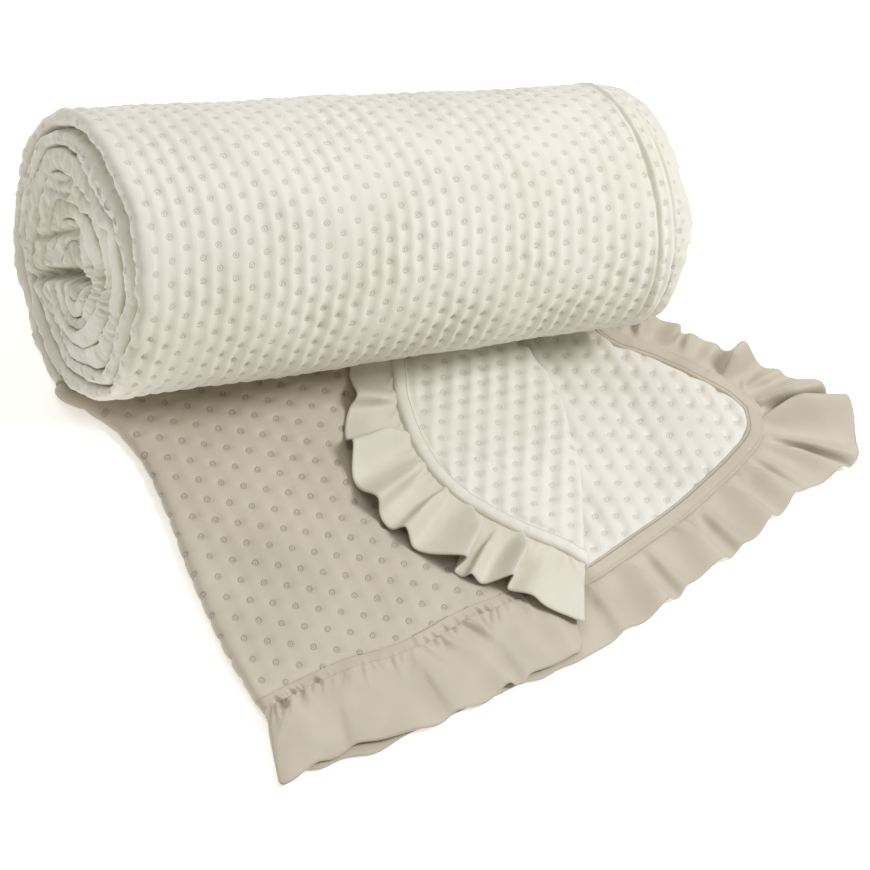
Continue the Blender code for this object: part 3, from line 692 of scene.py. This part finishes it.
binding = {
    "lap": 0.005, "lapFlat": 0.009, "width": 0.0143, "across": 21, "station": 0.0018,
    "halfTube": 0.0070, "halfFace": 0.0050, "halfReverse": 0.0036,   # half thickness of tube and flat bands
    "bead": (0.0014, 0.90, 0.06),   # a fine raised cord near the flat band's outer line: height, place, width
    "pucker": [(0.05, 0.013), (0.08, 0.05)],     # uneven thickness: share and size
    "tuck": (0.283, 0.341, 0.0020), # a tuck in the band on the reverse: from, to along the hem, height
    "turn": 0.02,                   # metres over which the band changes from flat to tube, and back
}
ruffle = {
    "lap": 0.002, "width": 0.098, "half": 0.0007, "station": 0.0020, "across": 27,
    "crowd": 1.25,                  # crowds the rows towards the seam, for the gathers
    "wander": (0.03, 0.08), "soft": (0.0012, 0.05),   # unevenness of its reach and of its height, with sizes
    "takenUp": 0.25,                # share of a fold's height that its free edge draws in
    "reverseLift": 0.0020,          # how much higher the seam lies on the reverse
    # how high the free edge lies: place along the sewn edge, height
    "laid": [(0.0, 0.0024), (1.147, 0.0024), (1.165, 0.0085), (1.630, 0.0085), (1.650, 0.0130),
             (1.666, 0.0200), (1.690, 0.0240), (1.715, 0.0220), (1.760, 0.0195), (2.073, 0.0200)],
    # folds: place along the sewn edge, half width, height, how far the crest leans along the edge, how far it
    # drifts along the edge on its way out (all metres), and the share of the ruffle's width where it starts
    "folds": [
        (0.024, 0.008, 0.010, 0.004, 0.000, 0.1), (0.050, 0.009, 0.018, -0.008, 0.006, 0.1),
        (0.082, 0.009, 0.018, 0.010, 0.000, 0.2), (0.112, 0.008, 0.010, -0.004, 0.004, 0.2),
        (0.136, 0.008, 0.012, 0.004, 0.000, 0.2), (0.170, 0.008, 0.034, -0.008, 0.000, 0.0),
        (0.197, 0.005, 0.014, 0.004, 0.000, 0.2), (0.221, 0.009, 0.040, 0.016, 0.000, 0.0),
        (0.250, 0.007, 0.036, -0.022, 0.000, 0.0), (0.272, 0.006, 0.022, 0.012, 0.000, 0.1),
        (0.292, 0.006, 0.014, -0.006, 0.000, 0.0),
        (0.312, 0.011, 0.012, 0.008, 0.006, 0.0), (0.346, 0.014, 0.016, -0.006, 0.004, 0.0),
        (0.398, 0.017, 0.015, -0.010, 0.008, 0.0), (0.446, 0.012, 0.011, 0.006, 0.002, 0.0),
        (0.500, 0.018, 0.016, -0.012, 0.010, 0.0), (0.556, 0.013, 0.011, 0.006, 0.004, 0.0),
        (0.606, 0.017, 0.015, -0.010, 0.010, 0.0), (0.664, 0.014, 0.011, 0.004, 0.004, 0.0),
        (0.740, 0.020, 0.003, 0.0, 0.0, 0.3), (0.830, 0.020, 0.002, 0.0, 0.0, 0.3),
        (0.960, 0.022, 0.002, 0.0, 0.0, 0.3), (1.070, 0.018, 0.002, 0.0, 0.0, 0.3),
        (1.205, 0.014, 0.003, 0.004, -0.004, 0.3), (1.262, 0.011, 0.004, -0.004, 0.004, 0.2),
        (1.322, 0.016, 0.004, 0.006, 0.000, 0.4), (1.372, 0.010, 0.005, -0.006, 0.006, 0.1),
        (1.424, 0.012, 0.006, 0.008, 0.014, 0.1), (1.486, 0.015, 0.006, -0.006, 0.006, 0.2),
        (1.556, 0.014, 0.004, 0.004, 0.000, 0.2),
        (1.704, 0.010, 0.008, -0.004, 0.000, 0.1), (1.738, 0.007, 0.028, -0.014, 0.000, 0.0),
        (1.764, 0.006, 0.010, 0.004, 0.000, 0.1), (1.808, 0.009, 0.029, -0.026, -0.002, 0.0),
        (1.842, 0.006, 0.018, 0.003, 0.004, 0.0), (1.888, 0.010, 0.022, -0.010, 0.000, 0.0),
        (1.930, 0.010, 0.022, 0.008, -0.004, 0.0), (1.992, 0.012, 0.018, -0.014, 0.004, 0.0),
        (2.046, 0.013, 0.011, 0.004, 0.004, 0.0),
    ],
    # gathers beside the seam: usual gap, half width and height, how far they run out, all metres; the stretch
    # of the reverse that shows, where they stand at full height, and their share of it elsewhere
    "gathers": {"gap": 0.0098, "wide": 0.0030, "high": 0.0056, "long": 0.034, "reverse": (1.150, 1.575),
                "onFace": 0.30},
    # per stretch of the sewn edge (lower side, lower hem, left fold, upper hem, right fold, flap hem, flap
    # side), each as (share of the stretch's length, value): how far the ruffle reaches as a share of its
    # width, and how many degrees it leans from square
    "reach": [
        [(0.0, 0.60), (0.15, 0.50), (0.45, 0.46), (0.65, 0.52), (0.85, 0.66), (1.0, 0.90)],
        [(0.0, 0.96), (0.03, 1.30), (0.05, 1.34), (0.08, 0.98), (0.13, 0.78), (0.18, 0.80), (0.46, 0.80),
         (0.6, 0.86), (0.66, 0.90), (0.72, 0.82), (0.90, 0.95), (1.0, 0.90)],
        [(0.0, 0.92), (1.0, 1.0)],
        [(0.0, 1.02), (0.3, 1.0), (0.84, 0.98), (0.94, 0.86), (1.0, 0.76)],
        [(0.0, 0.76), (0.5, 0.84), (1.0, 0.90)],
        [(0.0, 0.90), (0.08, 0.92), (0.3, 0.94), (0.6, 1.00), (1.0, 1.06)],
        [(0.0, 1.06), (0.25, 1.10), (0.42, 0.92), (0.58, 0.68), (0.75, 0.56), (0.9, 0.56), (1.0, 0.52)],
    ],
    "lean": [
        [(0.0, 0.0), (1.0, 0.0)],
        [(0.0, 0.0), (0.75, 0.0), (1.0, 22.0)],
        [(0.0, 22.0), (1.0, 26.0)],
        [(0.0, 26.0), (0.2, 20.0), (0.35, 7.0), (0.5, 0.0), (0.85, 4.0), (1.0, 30.0)],
        [(0.0, 30.0), (0.35, 13.0), (0.65, 3.0), (1.0, 3.0)],
        [(0.0, 3.0), (0.4, 3.0), (1.0, -14.0)],
        [(0.0, -14.0), (0.25, -14.0), (0.6, 0.0), (1.0, 0.0)],
    ],
}


def sewnEdge(grid):
    # the three sides of a grid that are sewn: down the first row, along the hem and back up the last row
    return np.concatenate([grid[0, :-1], grid[:, -1], grid[-1, -2::-1]])


def rimPath(middle, group):
    # the panel's sewn edge: points, normals, outward directions and the stretch each point is on
    path, normal = sewnEdge(middle), unit(sewnEdge(gridNormals(middle)))
    outward = unit(np.cross(normal, unit(np.gradient(path, axis=0))))
    rows = middle.shape[1] - 1
    return path, normal, outward, np.concatenate([np.zeros(rows, int), group + 1, np.full(rows, 6)])


def smoothDirections(path, directions, reach):
    # directions averaged along the path with a bell-shaped weight
    length = pathLength(path)
    weight = np.exp(-((length[:, None] - length[None]) / reach) ** 2) * np.gradient(length)[None]
    return unit(weight @ directions)


def atPlaces(length, values, at):
    # rows of values read at the given places along the edge
    return np.stack([np.interp(at, length, column) for column in values.T], axis=1)


def buildBinding(path, normal, outward, stretch):
    # A padded band that laps over the panel's edge. Round the flap it is a full tube, on the lower layer a
    # flat band with a fine cord along its outer line, and on the reverse flat, with the tuck as a low step.
    # Returns the piece and its outer line.
    b = binding
    across = 0.5 - 0.5 * np.cos(np.linspace(0.0, math.pi, b["across"]))
    coarse = pathLength(path)
    length = np.linspace(0.0, coarse[-1], round(coarse[-1] / b["station"]))
    path, normal, outward = (atPlaces(coarse, values, length) for values in (path, normal, outward))
    normal, outward = unit(normal), unit(outward)
    stretch = stretch[np.minimum(np.searchsorted(coarse, length), len(coarse) - 1)]
    fromLeftFold, fromRightFold = (length - length[stretch == k].mean() for k in (2, 4))
    lap = b["lap"] + (b["lapFlat"] - b["lap"]) * ease(b["turn"], -b["turn"], fromLeftFold)[:, None]
    offset = b["width"] * across - lap * (1.0 - across)
    middle = path[:, None, :] + outward[:, None, :] * offset[..., None]
    # sections from the inner to the outer line: near a half circle for the tube, near a box for the flat band
    tube = 0.10 + 0.90 * (1.0 - np.abs(2 * across - 1) ** 2.6) ** 0.5
    flat = 0.30 + 0.70 * (1.0 - np.abs(2 * across - 1) ** 10) ** 0.5
    high, place, wide = b["bead"]
    bead = high * np.exp(-((across - place) / wide) ** 2)
    pucker = 1.0 + sum(share * softNoise(length, 0.0, size, 61 + k)
                       for k, (share, size) in enumerate(b["pucker"]))[:, None]
    start, stop, step = b["tuck"]
    tucked = ease(-0.002, 0.002, path[:, 0] - start) * ease(-0.002, 0.002, stop - path[:, 0])
    tucked = step * tucked * (normal[:, 2] < -0.5)
    tubeShare = ease(-b["turn"], b["turn"], fromRightFold)[:, None]
    over = (tubeShare * b["halfTube"] * tube + (1 - tubeShare) * (b["halfFace"] * flat + bead)) * pucker
    slope = (1.0 - 0.62 * across) * ease(-0.12, 0.10, across)
    slope = slope * (1.0 - 0.30 * np.exp(-((across - 0.20) / 0.05) ** 2))
    gathers = ruffleGathers(length[:, None], 0.004 / ruffle["width"])   # they pucker the band's outer line
    under = b["halfReverse"] * slope * pucker + tucked[:, None] * ease(0.0, 0.25, across)[None, :]
    under = under + 0.8 * gathers * ease(0.3, 1.0, across)[None, :]
    uv = np.stack(np.broadcast_arrays(length[:, None], (b["width"] + b["lap"]) * across[None, :]), axis=-1)
    normals = np.repeat(normal[:, None, :], len(across), axis=1)
    above, below = middle + normals * over[..., None], middle - normals * under[..., None]
    # slot 1, the darker binding colour, shows on the band's other side, which faces up along the reverse, and
    # on top along the lower layer's side and hem
    piece = closedSheet("edge_binding", above, below, uv, uv, rows=(stretch < 2).astype(int))
    return piece, atPlaces(length, middle[:, -1], coarse)


def alongStretches(tables, length, stretch):
    # values along the sewn edge, read from one table per stretch
    values = np.zeros(len(length))
    for k, row in enumerate(tables):
        on = stretch == k
        start, end = length[on][0], length[on][-1]
        values[on] = np.interp((length[on] - start) / (end - start), *zip(*row))
    return values


def ruffleFolds(at, across):
    # Each fold is a bell-shaped ridge across the strip: it starts from the seam, widens to the free edge, and
    # its crest leans along the edge, over its own foot when the lean passes its width.
    # Gives the height and the shift along the edge.
    high, shift = np.zeros((2,) + np.broadcast(at, across).shape)
    for place, wide, tall, lean, drift, start in ruffle["folds"]:
        off = (at - place - drift * across) / (wide * (0.70 + 0.55 * across))
        bell = np.exp(-off ** 2) * ease(start - 0.12, start + 0.50, across)
        high, shift = high + tall * bell, shift + lean * bell
    return high, shift


def ruffleGathers(at, across):
    # short wedges beside the seam, narrow and steep there and gone a little way out, at uneven places, in
    # groups, some straight and some slanted
    g = ruffle["gathers"]
    rng = np.random.default_rng(77)
    places = np.cumsum(g["gap"] * rng.uniform(0.35, 1.9, int(at.max() / g["gap"])))
    grouped = np.clip(0.9 + 0.6 * softNoise(places, 0.0, 0.11, 78), 0.30, 1.8)
    high = np.zeros(np.broadcast(at, across).shape)
    out = across * ruffle["width"]
    for place, group in zip(places, grouped):
        wide, tall, far, slant = rng.uniform((0.5, 0.3, 0.4, -0.7), (1.7, 1.5, 1.5, 0.7))   # shares of usual
        off = (at - place - slant * out) / (g["wide"] * wide * (0.55 + 40.0 * out))
        reach = g["long"] * far
        fades = ease(0.0, 0.004, out) * ease(reach, 0.2 * reach, out)
        high += g["high"] * group * tall * np.exp(-off ** 2) * fades
    return high * np.where((at > g["reverse"][0]) & (at < g["reverse"][1]), 1.0, g["onFace"])


def buildRuffle(outer, normal, outward, stretch):
    # A strip from the binding's outer line that falls to its laid height, with its folds and gathers.
    r = ruffle
    length = pathLength(outer)
    at = np.linspace(0.0, length[-1], round(length[-1] / r["station"]))
    reach, lean = (np.interp(at, length, alongStretches(r[key], length, stretch))
                   for key in ("reach", "lean"))
    edge, away = atPlaces(length, outer, at), unit(atPlaces(length, outward, at))
    reverse = np.interp(at, length, (normal[:, 2] < -0.5).astype(float))
    turned = np.radians(-lean)   # turns the outward directions about the vertical
    away = np.stack([away[:, 0] * np.cos(turned) - away[:, 1] * np.sin(turned),
                     away[:, 0] * np.sin(turned) + away[:, 1] * np.cos(turned), away[:, 2]], axis=1)
    sideways = unit(np.gradient(edge, axis=0))
    across = np.linspace(0.0, 1.0, r["across"])[None, :] ** r["crowd"]
    high, shift = ruffleFolds(at[:, None], across)
    share, size = r["wander"]
    far = r["width"] * reach * (1.0 + share * softNoise(at, 0.0, size, 73)) - r["takenUp"] * high[:, -1]
    out = -r["lap"] + across * far[:, None]
    middle = edge[:, None, :] + away[:, None, :] * out[..., None] + sideways[:, None, :] * shift[..., None]
    tall, size = r["soft"]
    soft = tall * softNoise(at[:, None], 0.6 * r["width"] * across, size, 71) * across
    laid = np.interp(at, *zip(*r["laid"]))
    laid = np.convolve(np.pad(laid, 4, "edge"), np.full(9, 1 / 9), "valid")[:, None]   # rounds its corners
    seam = edge[:, 2:] + r["reverseLift"] * reverse[:, None]
    middle[..., 2] = seam * (1 - across) + laid * across + high + soft + ruffleGathers(at[:, None], across)
    normals = gridNormals(middle)
    uv = np.stack(np.broadcast_arrays(at[:, None], r["width"] * across), axis=-1)
    # painted shade: along the lower layer's side and hem the ruffle's top takes slot 1, the lawn darkened as
    # painted shade
    onLower = stretch[np.minimum(np.searchsorted(length, at), len(length) - 1)] < 2
    return closedSheet("gathered_ruffle", middle + r["half"] * normals, middle - r["half"] * normals, uv, uv,
                       rows=onLower.astype(int))


# Making the pieces

creamFace = {"light": "#e4e2d9", "deep": "#dedbd0", "thread": "#efede6"}
paleFace = {"light": "#e9e7e0", "deep": "#e3e0d7", "thread": "#f1efe9"}
taupeReverse = {"light": "#cdc6b9", "deep": "#c4bdae", "thread": "#d6d0c3"}

print("roll")
rolledPanel = buildRoll()
rollMaterials = [makeQuiltedSateen("quilted cotton sateen, wound", **creamFace, cell=roll["cell"])]

print("loose end")
middle, group, uvFace, uvReverse = looseMiddle()
looseCloth = buildLooseEnd(middle, group, uvFace, uvReverse)
looseMaterials = [
    makeQuiltedSateen("quilted cotton sateen, face", **paleFace, cell=looseEnd["cellFace"]),
    makeQuiltedSateen("quilted cotton, reverse", **taupeReverse, cell=looseEnd["cellReverse"], shadow=1.7),
]

print("binding and ruffle")
path, normal, outward, stretch = rimPath(middle, group)
edgeBinding, outerLine = buildBinding(path, normal, smoothDirections(path, outward, 0.012), stretch)
bindingMaterials = [
    makePlainCotton("plain cotton binding, face", "#e9e6dc", "#e1ddd1", "#c0b8a6"),
    makePlainCotton("plain cotton binding, darker", "#c8c0b1", "#beb5a4", "#a2988a"),
]
gatheredRuffle = buildRuffle(outerLine, normal, smoothDirections(path, outward, 0.055), stretch)
# slot 1 is the same lawn darkened as painted shade: it faces up along the reverse and lies on top along the
# lower layer's side and hem
ruffleMaterials = [
    makePlainCotton("plain cotton lawn, face", "#dcd7c9", "#d3cdbe"),
    makePlainCotton("plain cotton lawn, painted shade", "#cbc3b4", "#c1b9a9"),
]

for piece, node, materials in (
        (rolledPanel, "roll", rollMaterials), (looseCloth, "loose_end", looseMaterials),
        (edgeBinding, "binding", bindingMaterials), (gatheredRuffle, "ruffle", ruffleMaterials)):
    for material in materials:
        piece.data.materials.append(material)
    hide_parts(node)
    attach(piece, "root")


# Camera, floor and light

def standing(right, up, back, at):
    # a matrix that places a thing from its three unit directions and its place
    matrix = np.eye(4)
    matrix[:3] = np.stack([right, up, back, at], axis=1)
    return matrix.T


print("camera and light")
cameraPlace = {
    "right": (0.86986, -0.393011, 0.298138), "up": (0.119895, 0.754689, 0.645034),
    "back": (-0.478507, -0.525344, 0.703594), "at": (-2.47299, -2.63038, 3.57329),
}
camera = bpy.data.objects.new("camera", bpy.data.cameras.new("camera"))
camera.data.lens = 174.102
camera.data.clip_end = 50.0
camera.matrix_world = standing(**cameraPlace)
bpy.context.scene.collection.objects.link(camera)
bpy.context.scene.camera = camera

floorMesh = bpy.data.meshes.new("floor")
floorMesh.from_pydata([(-8, -8, 0), (8, -8, 0), (8, 8, 0), (-8, 8, 0)], [], [(0, 1, 2, 3)])
floor = bpy.data.objects.new("floor", floorMesh)
bpy.context.scene.collection.objects.link(floor)
paper = bpy.data.materials.new("pale studio paper, glowing")
paper.use_nodes = True
# painted light: the paper glows a little, slightly warm, though it is no lamp, as a floor lit from all round
# does; it clears the cloth's shadows on it and throws warm light back onto the cloth
for socket, value in (("Base Color", toLinear("#fefefd")), ("Roughness", 0.9),
                      ("Emission Color", (1.0, 0.985, 0.96, 1.0)), ("Emission Strength", 0.39)):
    paper.node_tree.nodes["Principled BSDF"].inputs[socket].default_value = value
floorMesh.materials.append(paper)

lights = [
    # name, place, aimed at, size, watts, colour
    ("key", (1.5, -0.8, 2.6), (0.0, 0.0, 0.1), 1.0, 58.0, (0.99, 0.99, 1.0)),
    ("top", (0.0, 0.2, 3.6), (0.0, 0.1, 0.0), 4.0, 36.0, (0.99, 0.99, 1.0)),
    ("fill", (-2.0, -2.2, 1.4), (0.0, 0.0, 0.1), 2.0, 8.0, (1.0, 0.78, 0.48)),
    ("back", (-1.2, 3.6, 2.8), (-0.6, 1.6, 0.0), 2.6, 60.0, (1.0, 1.0, 1.0)),
]
for name, place, aim, size, power, colour in lights:
    lamp = bpy.data.lights.new(name, "AREA")
    lamp.shape, lamp.size, lamp.energy, lamp.color = "SQUARE", size, power, colour
    holder = bpy.data.objects.new(name, lamp)
    holder.visible_camera = False
    back = unit(np.subtract(place, aim))
    right = unit(np.cross((0.0, 1.0, 0.2), back))
    holder.matrix_world = standing(right, np.cross(back, right), back, place)
    bpy.context.scene.collection.objects.link(holder)

world = bpy.data.worlds.new("studio")
bpy.context.scene.world = world
world.use_nodes = True
world.node_tree.nodes["Background"].inputs["Color"].default_value = (1.0, 0.99, 0.975, 1.0)
world.node_tree.nodes["Background"].inputs["Strength"].default_value = 0.23
bpy.context.scene.view_settings.view_transform = "Standard"   # keeps pale cloth as pale as it is
